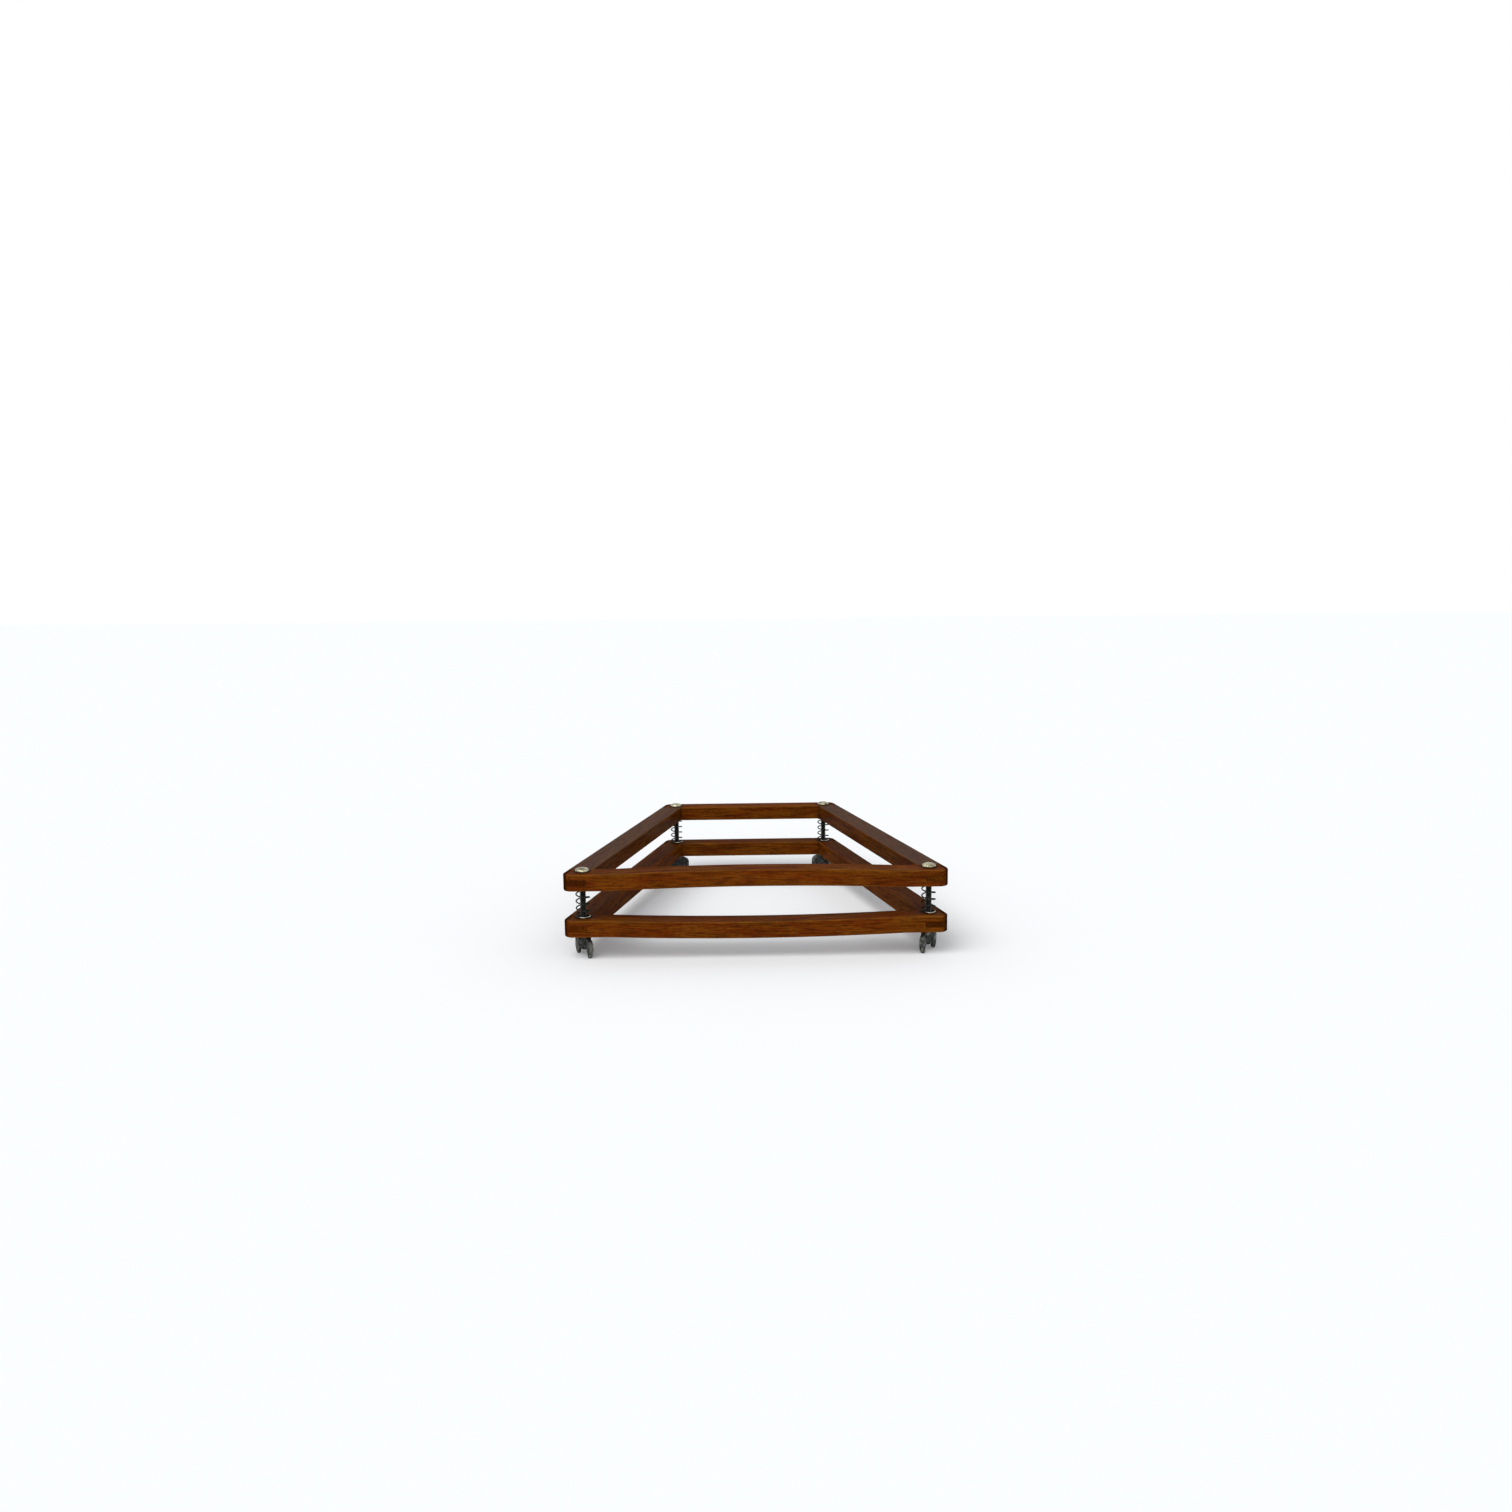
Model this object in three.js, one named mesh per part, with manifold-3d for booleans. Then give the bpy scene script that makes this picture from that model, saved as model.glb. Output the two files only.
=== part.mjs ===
// A wooden racket press: two trapezoid frames drawn together by four bolts and wing nuts.
// Millimetres, +Z up. The origin is on the floor, midway between the sides and between front and rear.
// The wide rails are in front (-Y), and the press stands on the tips of its wing nuts.

import * as THREE from 'three';
import { mergeVertices } from 'three/addons/utils/BufferGeometryUtils.js';
import Module from 'manifold-3d';

const wasm = await Module();
wasm.setup();

// Frames: eight rails of the same planed stock, four to a frame
const front_width = 290;
const rear_width = 160.5;
const frame_depth = 284;
const rail_width = 18.4;
const rail_thickness = 12.7;
const tenon_share = 1 / 3;
const glue_line = 0.3;
const corner_radius = 7;
const arris_radius = 0.9;
const frame_gap = 22.4;
const front_rail_bow = 2.3;

// Bolts: carriage bolts, each through one corner of both frames
const bolt_diameter = 4.76;
const bolt_end_inset = 12;
const bolt_side_inset = 12.5;
const bolt_tail_proud = 1.5;
const bolt_tail_chamfer = 0.6;
const head_diameter = 10.6;
const head_height = 2.9;
const head_rim = 0.5;
const neck_width = 4.9;
const neck_length = 3.2;
const neck_clearance = 0.2;
const upper_hole_clearance = 0.35;
const lower_hole_clearance = 0.55;

// Washers: thin, flat, between the lower frame and each wing nut
const washer_diameter = 12.7;
const washer_thickness = 1.2;
const washer_clearance = 0.4;

// Wing nuts: cast, hub uppermost, with two wings that hang to the floor
const nut_height = 16;
const hub_top_diameter = 10.8;
const hub_low_diameter = 9;
const hub_height = 9.5;
const hub_band = 2.6;
const thread_clearance = 0.15;
const wing_thickness = 2.8;
const wing_edge_radius = 0.8;
const wing_root_drop = 0.6;
const wing_reach = 12;
const wing_shoulder_drop = 7.5;
const wing_flank_drop = 12.8;
const wing_tip_radius = 1.3;
const wing_tip_reach = 8.7;
const wing_arch_reach = 6.6;
const wing_arch_drop = 9.8;
const wing_bury_share = 0.8;
const front_left_nut_turn = -55;
const front_right_nut_turn = -126;
const rear_left_nut_turn = 24;
const rear_right_nut_turn = 147;

// Springs: round steel wire, wound left-handed, with a flat part turn at each end to stand on
const wire_diameter = 1;
const spring_diameter = 11;
const flat_turns = 0.65;
const open_turns = 4;
const seat_gap = 0.3;

// Facets
const corner_steps = 3;
const arris_steps = 2;
const bow_facet = 12;
const round_sides = 20;
const dome_steps = 4;
const wing_steps = 3;
const steps_per_turn = 8;
const wire_sides = 5;

// What every cut runs past the face that it leaves
const overrun = 2;

// Heights that follow from the sizes above
const lower_bottom = nut_height + washer_thickness;
const lower_top = lower_bottom + rail_thickness;
const upper_bottom = lower_top + frame_gap;
const upper_top = upper_bottom + rail_thickness;

// Plan of the frames: how far a side's outer face lies from the middle, at any depth
const front_face = -frame_depth / 2;
const rear_face = frame_depth / 2;
const side_slope = (front_width - rear_width) / 2 / frame_depth;
const side_rail_span = rail_width * Math.hypot(1, side_slope);
const tenon_low = rail_thickness * tenon_share;
const tenon_high = rail_thickness - tenon_low;

function half_width(y) {
  return front_width / 2 - (y - front_face) * side_slope;
}

const varnished_wood = { color: 0x74391a, roughness: 0.42, metalness: 0 };
const plated_steel = { color: 0x9c9a8c, roughness: 0.38, metalness: 1 };
const spring_steel = { color: 0x5d5d5c, roughness: 0.34, metalness: 1 };
const cast_iron = { color: 0x4c4e4f, roughness: 0.62, metalness: 0.85 };

// A closed geometry as a solid that can be joined and cut
function solid_of(geometry) {
  const bare = geometry.clone();
  bare.deleteAttribute('normal');
  bare.deleteAttribute('uv');
  const merged = mergeVertices(bare);
  const mesh = new wasm.Mesh({
    numProp: 3,
    vertProperties: new Float32Array(merged.attributes.position.array),
    triVerts: new Uint32Array(merged.index.array),
  });
  return new wasm.Manifold(mesh);
}

function geometry_of(solid) {
  const mesh = solid.getMesh();
  const geometry = new THREE.BufferGeometry();
  geometry.setAttribute('position', new THREE.BufferAttribute(mesh.vertProperties, 3));
  geometry.setIndex(new THREE.BufferAttribute(mesh.triVerts, 1));
  geometry.computeVertexNormals();
  return geometry;
}

// A box between two corners
function block(low, high) {
  const size = new THREE.Vector3().subVectors(high, low);
  const middle = new THREE.Vector3().addVectors(high, low).multiplyScalar(0.5);
  const geometry = new THREE.BoxGeometry(size.x, size.y, size.z);
  geometry.translate(middle.x, middle.y, middle.z);
  return solid_of(geometry);
}

// An outline standing on the XY plane between two heights
function prism(shape, low, high) {
  const settings = { depth: high - low, bevelEnabled: false, curveSegments: corner_steps };
  const geometry = new THREE.ExtrudeGeometry(shape, settings);
  geometry.translate(0, 0, low);
  return solid_of(geometry);
}

function upright_cylinder(radius, low, high, x, y) {
  const geometry = new THREE.CylinderGeometry(radius, radius, high - low, round_sides);
  geometry.rotateX(Math.PI / 2);
  geometry.translate(x, y, (low + high) / 2);
  return solid_of(geometry);
}

// A profile of radius and height turned about the Z axis
function turned(points) {
  const geometry = new THREE.LatheGeometry(points, round_sides);
  geometry.rotateX(Math.PI / 2);
  return solid_of(geometry);
}

// A polygon, corners given anticlockwise, each rounded by an arc that its two sides touch
function rounded_outline(corners, radius) {
  const outline = new THREE.Shape();
  corners.forEach((corner, i) => {
    const before = corners[(i + corners.length - 1) % corners.length];
    const after = corners[(i + 1) % corners.length];
    const incoming = new THREE.Vector2().subVectors(corner, before).normalize();
    const outgoing = new THREE.Vector2().subVectors(after, corner).normalize();
    const turn = incoming.angleTo(outgoing);
    const start = corner.clone().addScaledVector(incoming, -radius * Math.tan(turn / 2));
    const centre = start.clone().add(new THREE.Vector2(-incoming.y, incoming.x).multiplyScalar(radius));
    const first = Math.atan2(start.y - centre.y, start.x - centre.x);
    outline.absarc(centre.x, centre.y, radius, first, first + turn, false);
  });
  outline.closePath();
  return outline;
}

// The four corners of a trapezoid whose sides lie inside the frame's by the given amounts
function trapezoid(end_inset, side_inset) {
  const front = front_face + end_inset;
  const rear = rear_face - end_inset;
  const front_half = half_width(front) - side_inset;
  const rear_half = half_width(rear) - side_inset;
  return [
    new THREE.Vector2(-front_half, front),
    new THREE.Vector2(front_half, front),
    new THREE.Vector2(rear_half, rear),
    new THREE.Vector2(-rear_half, rear),
  ];
}

// A whole frame as it leaves the sander: one outline, one window, arrises rounded all round
function sanded_frame() {
  const outline = rounded_outline(trapezoid(0, 0), corner_radius);
  outline.holes.push(new THREE.Path(trapezoid(rail_width, side_rail_span)));
  const geometry = new THREE.ExtrudeGeometry(outline, {
    depth: rail_thickness - 2 * arris_radius,
    curveSegments: corner_steps,
    bevelThickness: arris_radius,
    bevelSize: arris_radius,
    bevelOffset: -arris_radius,
    bevelSegments: arris_steps,
  });
  geometry.translate(0, 0, arris_radius);
  return solid_of(geometry);
}

// The strip of the plan that a side rail and its tenons lie in, widened inwards if asked
function side_strip(side, widened) {
  const front = front_face - overrun;
  const rear = rear_face + overrun;
  const inner = side_rail_span + widened;
  return new THREE.Shape([
    new THREE.Vector2(side * (half_width(front) - inner), front),
    new THREE.Vector2(side * (half_width(front) + overrun), front),
    new THREE.Vector2(side * (half_width(rear) + overrun), rear),
    new THREE.Vector2(side * (half_width(rear) - inner), rear),
  ]);
}

// The strip of the plan that an end rail lies in, between two heights
function end_strip(end, low, high) {
  const reach = front_width / 2 + overrun;
  const outer = end * (rear_face + overrun);
  const inner = end * (rear_face - rail_width);
  return block(
    new THREE.Vector3(-reach, Math.min(outer, inner), low),
    new THREE.Vector3(reach, Math.max(outer, inner), high),
  );
}

const corners = [
  { name: 'front_left', side: -1, end: -1, nut_turn: front_left_nut_turn },
  { name: 'front_right', side: 1, end: -1, nut_turn: front_right_nut_turn },
  { name: 'rear_left', side: -1, end: 1, nut_turn: rear_left_nut_turn },
  { name: 'rear_right', side: 1, end: 1, nut_turn: rear_right_nut_turn },
];
for (const corner of corners) {
  corner.y = corner.end * (rear_face - bolt_end_inset);
  corner.x = corner.side * (half_width(corner.y) - bolt_side_inset);
}

// Bolt holes of a frame. Only the upper frame's are squared at the top, by the bolts' necks.
function bolt_holes(hole_radius, squared) {
  const tools = corners.map(({ x, y }) => {
    const round = upright_cylinder(hole_radius, -overrun, rail_thickness + overrun, x, y);
    if (!squared) return round;
    const half = neck_width / 2 + neck_clearance;
    const floor = rail_thickness - neck_length - neck_clearance;
    const low = new THREE.Vector3(x - half, y - half, floor);
    const high = new THREE.Vector3(x + half, y + half, rail_thickness + overrun);
    return round.add(block(low, high));
  });
  return tools.reduce((all, tool) => all.add(tool));
}

// End rails are slotted through at both ends for the side rails' tenons
function end_rail(frame, end, holes) {
  const whole = frame.intersect(end_strip(end, -overrun, rail_thickness + overrun));
  const slots = [-1, 1].map((side) => prism(side_strip(side, glue_line), tenon_low, tenon_high));
  return whole.subtract(slots[0]).subtract(slots[1]).subtract(holes);
}

// Side rails are cut down at both ends to a tenon as long as the end rail is wide
function side_rail(frame, side, holes) {
  let rail = frame.intersect(prism(side_strip(side, 0), -overrun, rail_thickness + overrun));
  for (const end of [-1, 1]) {
    rail = rail.subtract(end_strip(end, -overrun, tenon_low));
    rail = rail.subtract(end_strip(end, tenon_high, rail_thickness + overrun));
  }
  return rail.subtract(holes);
}

// A front rail that years of clamping have bent up or down; it stays straight one facet short of its joints
function bowed(rail, rise) {
  const reach = half_width(front_face + rail_width) - side_rail_span - bow_facet;
  return rail.refineToLength(bow_facet).warp((point) => {
    point[2] += rise * Math.max(0, 1 - (point[0] / reach) ** 2);
  });
}

function named_mesh(name, geometry, finish) {
  const mesh = new THREE.Mesh(geometry, new THREE.MeshStandardMaterial(finish));
  mesh.name = name;
  return mesh;
}

function frame_group(prefix, bottom, bow, holes) {
  const frame = sanded_frame();
  const rails = {
    front_rail: bowed(end_rail(frame, -1, holes), bow),
    rear_rail: end_rail(frame, 1, holes),
    left_rail: side_rail(frame, -1, holes),
    right_rail: side_rail(frame, 1, holes),
  };
  const group = new THREE.Group();
  for (const [rail, solid] of Object.entries(rails)) {
    group.add(named_mesh(`${prefix}_${rail}`, geometry_of(solid), varnished_wood));
  }
  group.position.z = bottom;
  return group;
}

// A carriage bolt from its tail, below the wing nut, to its low domed head on the upper frame
function bolt_solid() {
  const radius = bolt_diameter / 2;
  const tail = lower_bottom - washer_thickness - hub_height - bolt_tail_proud;
  const dome = head_height - head_rim;
  const points = [
    new THREE.Vector2(0, tail),
    new THREE.Vector2(radius - bolt_tail_chamfer, tail),
    new THREE.Vector2(radius, tail + bolt_tail_chamfer),
    new THREE.Vector2(radius, upper_top),
    new THREE.Vector2(head_diameter / 2, upper_top),
  ];
  for (let i = 0; i < dome_steps; i += 1) {
    const angle = (i / dome_steps) * Math.PI / 2;
    const across = (head_diameter / 2) * Math.cos(angle);
    points.push(new THREE.Vector2(across, upper_top + head_rim + dome * Math.sin(angle)));
  }
  points.push(new THREE.Vector2(0, upper_top + head_height));
  const half = neck_width / 2;
  const neck = block(
    new THREE.Vector3(-half, -half, upper_top - neck_length),
    new THREE.Vector3(half, half, upper_top + head_rim),
  );
  return turned(points).add(neck);
}

function washer_solid() {
  const outline = new THREE.Shape();
  outline.absarc(0, 0, washer_diameter / 2, 0, 2 * Math.PI, false);
  const hole = new THREE.Path();
  hole.absarc(0, 0, bolt_diameter / 2 + washer_clearance, 0, 2 * Math.PI, true);
  outline.holes.push(hole);
  const settings = { depth: washer_thickness, bevelEnabled: false, curveSegments: round_sides / 2 };
  const geometry = new THREE.ExtrudeGeometry(outline, settings);
  geometry.translate(0, 0, lower_bottom - washer_thickness);
  return solid_of(geometry);
}

// One wing in its own plane, X outwards and Y up: a broad shoulder that curves in to a narrow round tip
// on the floor, with an arch between the two wings under the hub
function wing_outline() {
  const hub_bottom = nut_height - hub_height;
  const root = hub_low_diameter / 2 * wing_bury_share;
  const root_height = nut_height - wing_root_drop;
  const shoulder_height = nut_height - wing_shoulder_drop;
  const flank_height = nut_height - wing_flank_drop;
  const arch_height = nut_height - wing_arch_drop;
  const outline = new THREE.Shape();
  outline.moveTo(0, root_height);
  outline.lineTo(root, root_height);
  outline.quadraticCurveTo(wing_reach, root_height, wing_reach, shoulder_height);
  outline.quadraticCurveTo(wing_reach, flank_height, wing_tip_reach + wing_tip_radius, wing_tip_radius);
  outline.absarc(wing_tip_reach, wing_tip_radius, wing_tip_radius, 0, -Math.PI, true);
  outline.quadraticCurveTo(wing_arch_reach, arch_height, root, hub_bottom);
  outline.lineTo(0, hub_bottom);
  outline.closePath();
  return outline;
}

function wing_nut_solid() {
  const hub = turned([
    new THREE.Vector2(0, nut_height - hub_height),
    new THREE.Vector2(hub_low_diameter / 2, nut_height - hub_height),
    new THREE.Vector2(hub_top_diameter / 2, nut_height - hub_band),
    new THREE.Vector2(hub_top_diameter / 2, nut_height),
    new THREE.Vector2(0, nut_height),
  ]);
  const wing = new THREE.ExtrudeGeometry(wing_outline(), {
    depth: wing_thickness - 2 * wing_edge_radius,
    curveSegments: wing_steps,
    bevelThickness: wing_edge_radius,
    bevelSize: wing_edge_radius,
    bevelOffset: -wing_edge_radius,
    bevelSegments: arris_steps,
  });
  wing.translate(0, 0, wing_edge_radius - wing_thickness / 2);
  wing.rotateX(Math.PI / 2);
  const other_wing = wing.clone().rotateZ(Math.PI);
  const bore_radius = bolt_diameter / 2 + thread_clearance;
  const bore = upright_cylinder(bore_radius, nut_height - hub_height - overrun, nut_height + overrun, 0, 0);
  return hub.add(solid_of(wing)).add(solid_of(other_wing)).subtract(bore);
}

// A compression spring as one tube of wire that climbs clockwise: a flat part turn, the open turns, which
// start and end in front, and another flat part turn
function spring_geometry() {
  const wire_radius = wire_diameter / 2;
  const coil_radius = spring_diameter / 2 - wire_radius;
  const lowest = lower_top + seat_gap + wire_radius;
  const highest = upper_bottom - seat_gap - wire_radius;
  const turns = 2 * flat_turns + open_turns;
  const count = Math.round(turns * steps_per_turn);

  const stations = [];
  for (let i = 0; i <= count; i += 1) {
    const open = (i / count) * turns - flat_turns;
    const climbed_share = THREE.MathUtils.clamp(open / open_turns, 0, 1);
    const angle = -Math.PI / 2 - open * 2 * Math.PI;
    const outward = new THREE.Vector3(Math.cos(angle), Math.sin(angle), 0);
    const along = new THREE.Vector3(Math.sin(angle), -Math.cos(angle), 0);
    const centre = outward.clone().multiplyScalar(coil_radius);
    centre.setZ(THREE.MathUtils.lerp(lowest, highest, climbed_share));
    stations.push({ centre, outward, along });
  }
  // the wire's cut ends run straight on for one diameter
  const first = stations[0];
  const last = stations[count];
  const before = first.centre.clone().addScaledVector(first.along, -wire_diameter);
  const beyond = last.centre.clone().addScaledVector(last.along, wire_diameter);
  stations.unshift({ ...first, centre: before });
  stations.push({ ...last, centre: beyond });

  const half_turn = steps_per_turn / 2;
  let least = Infinity;
  for (let i = 0; i < stations.length; i += 1) {
    for (let j = i + half_turn; j < stations.length; j += 1) {
      least = Math.min(least, stations[i].centre.distanceTo(stations[j].centre) - wire_diameter);
    }
  }
  console.log(`spring wire: least gap to itself ${least.toFixed(2)} mm over ${turns} turns`);

  const positions = [];
  for (const { centre, outward, along } of stations) {
    const upward = new THREE.Vector3().crossVectors(outward, along);
    for (let k = 0; k < wire_sides; k += 1) {
      const angle = (k / wire_sides) * 2 * Math.PI;
      const point = centre.clone();
      point.addScaledVector(outward, wire_radius * Math.cos(angle));
      point.addScaledVector(upward, wire_radius * Math.sin(angle));
      positions.push(...point.toArray());
    }
  }
  const faces = [];
  for (let i = 0; i < stations.length - 1; i += 1) {
    for (let k = 0; k < wire_sides; k += 1) {
      const here = i * wire_sides + k;
      const beside = i * wire_sides + (k + 1) % wire_sides;
      faces.push(here, here + wire_sides, beside);
      faces.push(beside, here + wire_sides, beside + wire_sides);
    }
  }
  const last_ring = (stations.length - 1) * wire_sides;
  for (let k = 1; k < wire_sides - 1; k += 1) {
    faces.push(0, k, k + 1);
    faces.push(last_ring, last_ring + k + 1, last_ring + k);
  }
  const geometry = new THREE.BufferGeometry();
  geometry.setAttribute('position', new THREE.Float32BufferAttribute(positions, 3));
  geometry.setIndex(faces);
  geometry.computeVertexNormals();
  return geometry;
}

// What stands at each corner, placed by the corner's own group
function corner_group(corner) {
  const group = new THREE.Group();
  group.add(named_mesh(`bolt_${corner.name}`, geometry_of(bolt_solid()), plated_steel));
  group.add(named_mesh(`spring_${corner.name}`, spring_geometry(), spring_steel));
  group.add(named_mesh(`washer_${corner.name}`, geometry_of(washer_solid()), plated_steel));
  const nut = named_mesh(`wing_nut_${corner.name}`, geometry_of(wing_nut_solid()), cast_iron);
  nut.rotation.z = THREE.MathUtils.degToRad(corner.nut_turn);
  group.add(nut);
  group.position.set(corner.x, corner.y, 0);
  return group;
}

const upper_hole_radius = bolt_diameter / 2 + upper_hole_clearance;
const lower_hole_radius = bolt_diameter / 2 + lower_hole_clearance;

const press = new THREE.Group();
press.add(frame_group('upper', upper_bottom, front_rail_bow, bolt_holes(upper_hole_radius, true)));
press.add(frame_group('lower', lower_bottom, -front_rail_bow, bolt_holes(lower_hole_radius, false)));
for (const corner of corners) {
  press.add(corner_group(corner));
}

export default press;
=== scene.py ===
import math

import bmesh
import bpy
from mathutils import Matrix, Vector, noise


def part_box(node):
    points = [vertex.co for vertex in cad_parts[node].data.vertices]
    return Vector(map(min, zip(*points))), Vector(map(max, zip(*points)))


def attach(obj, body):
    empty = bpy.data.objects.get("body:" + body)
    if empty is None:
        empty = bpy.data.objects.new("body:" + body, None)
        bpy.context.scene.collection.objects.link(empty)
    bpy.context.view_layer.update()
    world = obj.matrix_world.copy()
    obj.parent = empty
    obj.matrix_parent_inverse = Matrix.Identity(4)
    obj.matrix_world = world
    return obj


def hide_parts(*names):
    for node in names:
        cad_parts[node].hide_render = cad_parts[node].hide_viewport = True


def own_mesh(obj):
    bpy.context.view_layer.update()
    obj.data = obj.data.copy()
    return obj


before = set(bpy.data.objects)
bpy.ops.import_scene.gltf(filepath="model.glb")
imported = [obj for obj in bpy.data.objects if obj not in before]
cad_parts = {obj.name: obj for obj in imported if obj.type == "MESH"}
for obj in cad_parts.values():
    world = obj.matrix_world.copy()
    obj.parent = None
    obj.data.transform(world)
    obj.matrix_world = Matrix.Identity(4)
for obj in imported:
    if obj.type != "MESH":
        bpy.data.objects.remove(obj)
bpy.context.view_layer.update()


# Camera: it stands a metre in front of the middle of the press and 28 cm up, turned slightly to the right,
# tilted down by 8 degrees and rolled by half a degree, as in the photograph. The press fills only the
# middle of the frame.
camera_place = (-0.0188, -1.019, 0.2787)
degrees_right = 1.26
degrees_down = 8.22
degrees_rolled = 0.5
camera_data = bpy.data.cameras.new("camera")
camera_data.sensor_width = 36
camera_data.lens = 28.98
camera = bpy.data.objects.new("camera", camera_data)
bpy.context.scene.collection.objects.link(camera)
camera.matrix_world = (
    Matrix.Translation(camera_place)
    @ Matrix.Rotation(math.radians(-degrees_right), 4, "Z")
    @ Matrix.Rotation(math.radians(90 - degrees_down), 4, "X")
    @ Matrix.Rotation(math.radians(-degrees_rolled), 4, "Z")
)
bpy.context.scene.camera = camera


# Frames: two alike trapezoids of half-inch hardwood, four rails each, glued with open mortise and tenon
# joints and sanded round after gluing; clamping has bent the front rails apart by 2.3 mm each. Stained
# reddish brown and varnished; the varnish has worn off the arrises, and dirt lies round the bolts. Painted
# shade darkens the wood round the bolt heads and at the rounded ends of the rails, and dust with a painted
# sheen greys the tops of the upper side rails.
front_width = 0.290
rear_width = 0.1605
frame_depth = 0.284
rail_width = 0.0184
rail_thickness = 0.0127
corner_radius = 0.0071  # the solids have 7 mm in facets, and these smooth corners stay inside them
arris_radius = 0.0009
joint_line = 0.00012
hole_radius = 0.0029
bolt_from_end = 0.012
bolt_from_side = 0.0125
front_rail_bow = 0.0023
straight_before_joint = 0.012
corner_steps = 20
arris_steps = 6
hole_sides = 40
bend_slices = 12
front_face = -frame_depth / 2
rear_face = frame_depth / 2
joint_place = rear_face - rail_width
side_slope = (front_width - rear_width) / 2 / frame_depth
slope_length = math.hypot(1, side_slope)
side_span = rail_width * slope_length
tenon_low, tenon_high = rail_thickness / 3, rail_thickness * 2 / 3
overrun = 0.002  # how far a cutting tool reaches past the wood
tool_low, tool_high = -overrun, rail_thickness + overrun
gap_middle = (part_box("lower_left_rail")[1].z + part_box("upper_left_rail")[0].z) / 2


def half_width(y):
    return front_width / 2 - (y - front_face) * side_slope


bow_reach = half_width(front_face + rail_width) - side_span - straight_before_joint


def trapezoid(end_inset, side_inset):
    """The four corners, anticlockwise, of the frame's plan drawn inwards."""
    front, rear = front_face + end_inset, rear_face - end_inset
    a, b = half_width(front) - side_inset, half_width(rear) - side_inset
    return [Vector((-a, front)), Vector((a, front)), Vector((b, rear)), Vector((-b, rear))]


def rounded_ring(inset, height):
    """The frame's outside with its four round corners, drawn inwards by inset."""
    corners = trapezoid(0, 0)
    ring = []
    for i, corner in enumerate(corners):
        incoming = (corner - corners[i - 1]).normalized()
        outgoing = (corners[(i + 1) % len(corners)] - corner).normalized()
        turn = incoming.angle(outgoing)
        start = corner - incoming * corner_radius * math.tan(turn / 2)
        centre = start + Vector((-incoming.y, incoming.x)) * corner_radius
        first = math.atan2(start.y - centre.y, start.x - centre.x)
        for step in range(corner_steps + 1):
            angle = first + turn * step / corner_steps
            out = Vector((math.cos(angle), math.sin(angle))) * (corner_radius - inset)
            ring.append((centre.x + out.x, centre.y + out.y, height))
    return ring


def window_ring(flare, height):
    return [(p.x, p.y, height) for p in trapezoid(rail_width - flare, side_span - flare * slope_length)]


def arris_profile():
    """Pairs of inset and height round the two rounded arrises of a board's edge."""
    quarter = [math.pi / 2 * k / arris_steps for k in range(arris_steps + 1)]
    low = [(arris_radius * (1 - math.sin(t)), arris_radius * (1 - math.cos(t))) for t in quarter]
    return low + [(inset, rail_thickness - height) for inset, height in reversed(low)]


def object_of(name, data):
    made = bpy.data.objects.new(name, data)
    bpy.context.scene.collection.objects.link(made)
    return made


def loft(name, rings):
    """A closed mesh through rings of equally many points, all going anticlockwise, lowest first."""
    count = len(rings[0])
    faces = [tuple(reversed(range(count)))]
    for level in range(len(rings) - 1):
        for i in range(count):
            j = (i + 1) % count
            here, above = level * count, (level + 1) * count
            faces.append((here + i, here + j, above + j, above + i))
    faces.append(tuple(range((len(rings) - 1) * count, len(rings) * count)))
    mesh = bpy.data.meshes.new(name)
    mesh.from_pydata([p for ring in rings for p in ring], [], faces)
    return object_of(name, mesh)


def prism(name, corners, low, high):
    return loft(name, [[(x, y, z) for x, y in corners] for z in (low, high)])


def evaluated_mesh(made):
    bpy.context.view_layer.update()
    depsgraph = bpy.context.evaluated_depsgraph_get()
    return bpy.data.meshes.new_from_object(made.evaluated_get(depsgraph))


def carved(made, operation, tools):
    """made, cut or kept by each of the tools in turn; the tools are used up."""
    for tool in tools:
        cut = made.modifiers.new("cut", "BOOLEAN")
        cut.operation = operation
        cut.solver = "EXACT"
        cut.object = tool
        mesh = evaluated_mesh(made)
        made.modifiers.clear()
        made.data = mesh
        bpy.data.objects.remove(tool)
    return made


def side_strip(name, side, widened, low, high):
    """The part of the plan that one side rail lies in, from before the front to behind the rear."""
    front, rear = front_face - overrun, rear_face + overrun
    inner = side_span + widened
    corners = [
        (side * (half_width(front) - inner), front),
        (side * (half_width(front) + overrun), front),
        (side * (half_width(rear) + overrun), rear),
        (side * (half_width(rear) - inner), rear),
    ]
    return prism(name, corners[::side], low, high)


def end_strip(name, end, low, high):
    """The part of the plan that one end rail lies in."""
    near, far = sorted((end * (rear_face + overrun), end * joint_place))
    reach = front_width / 2 + overrun
    return prism(name, [(-reach, near), (reach, near), (reach, far), (-reach, far)], low, high)


bolt_places = {}
for end_name, end in (("front", -1), ("rear", 1)):
    for side_name, side in (("left", -1), ("right", 1)):
        y = end * (rear_face - bolt_from_end)
        bolt_places[f"{end_name}_{side_name}"] = Vector((side * (half_width(y) - bolt_from_side), y, 0))
front_bolt, rear_bolt = bolt_places["front_right"], bolt_places["rear_right"]


def hole_tools():
    angles = [2 * math.pi * k / hole_sides for k in range(hole_sides)]
    circle = [(hole_radius * math.cos(a), hole_radius * math.sin(a)) for a in angles]
    for place in bolt_places.values():
        yield prism("hole", [(place.x + x, place.y + y) for x, y in circle], tool_low, tool_high)


def slice_across(mesh):
    """Divides the faces by upright planes across X, so that the board can bend."""
    skin = bmesh.new()
    skin.from_mesh(mesh)
    for k in range(-bend_slices, bend_slices + 1):
        whole = [*skin.verts, *skin.edges, *skin.faces]
        place = (bow_reach * k / bend_slices, 0, 0)
        bmesh.ops.bisect_plane(skin, geom=whole, plane_co=place, plane_no=(1, 0, 0))
    skin.to_mesh(mesh)
    skin.free()


def bend(mesh, rise):
    """Bends a front rail up or down between its joints."""
    for vertex in mesh.vertices:
        vertex.co.z += rise * max(0, 1 - (vertex.co.x / bow_reach) ** 2)


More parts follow.
